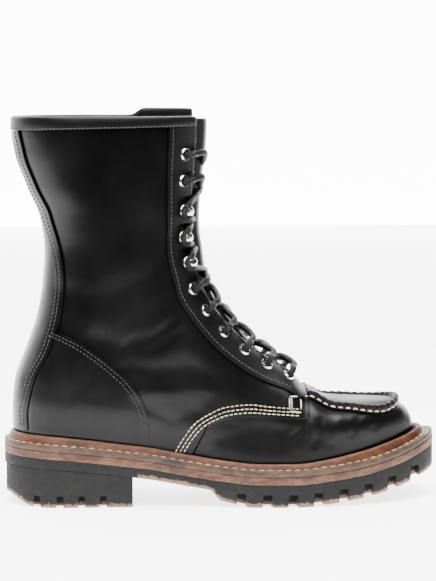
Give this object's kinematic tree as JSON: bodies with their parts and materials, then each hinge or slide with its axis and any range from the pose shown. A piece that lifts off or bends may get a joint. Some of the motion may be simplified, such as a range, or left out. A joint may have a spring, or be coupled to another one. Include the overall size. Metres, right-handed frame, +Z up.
{
  "type": "moccasin boot",
  "caption": "Tall lace-up leather boot with a raised moccasin toe, storm welt, brown midsole and black lug sole with a separate heel; right foot.",
  "frame": {"origin": "middle of the outsole's length and width, on the floor that the sole stands on", "axes": "+X from heel to toe, +Y to the inner (big toe) side, +Z up"},
  "size_m": [0.3078, 0.1072, 0.2711],
  "materials": {
    "smooth_leather": "black smooth leather, waxed gloss with soft creases",
    "plug_leather": "black leather, satin, worn along the raised seam",
    "tongue_leather": "black leather, soft satin",
    "insole_leather": "tan vegetable leather, matt",
    "welt_leather": "red-brown oiled leather, worn, with pale stitching",
    "sole_rubber": "black rubber, matt, scuffed pale along the lug edges",
    "nickel": "polished nickel",
    "lace_cord": "round waxed braided cord"
  },
  "bodies": {
    "root": {"upper": "smooth_leather", "eyestay_outer": "smooth_leather", "eyestay_inner": "smooth_leather", "collar_band": "smooth_leather", "backstay": "smooth_leather", "counter_outer": "smooth_leather", "counter_inner": "smooth_leather", "apron": "plug_leather", "moc_seam": "plug_leather", "tongue": "tongue_leather", "insole": "insole_leather", "welt": "welt_leather", "midsole": "welt_leather", "outsole": "sole_rubber", "heel": "sole_rubber", "eyelet_outer_1": "nickel", "eyelet_outer_2": "nickel", "eyelet_outer_3": "nickel", "eyelet_outer_4": "nickel", "eyelet_outer_5": "nickel", "eyelet_outer_6": "nickel", "eyelet_outer_10": "nickel", "eyelet_outer_11": "nickel", "eyelet_inner_1": "nickel", "eyelet_inner_2": "nickel", "eyelet_inner_3": "nickel", "eyelet_inner_4": "nickel", "eyelet_inner_5": "nickel", "eyelet_inner_6": "nickel", "eyelet_inner_10": "nickel", "eyelet_inner_11": "nickel", "hook_outer_7": "nickel", "hook_outer_8": "nickel", "hook_outer_9": "nickel", "hook_inner_7": "nickel", "hook_inner_8": "nickel", "hook_inner_9": "nickel", "lace": "lace_cord"}
  },
  "joints": []
}
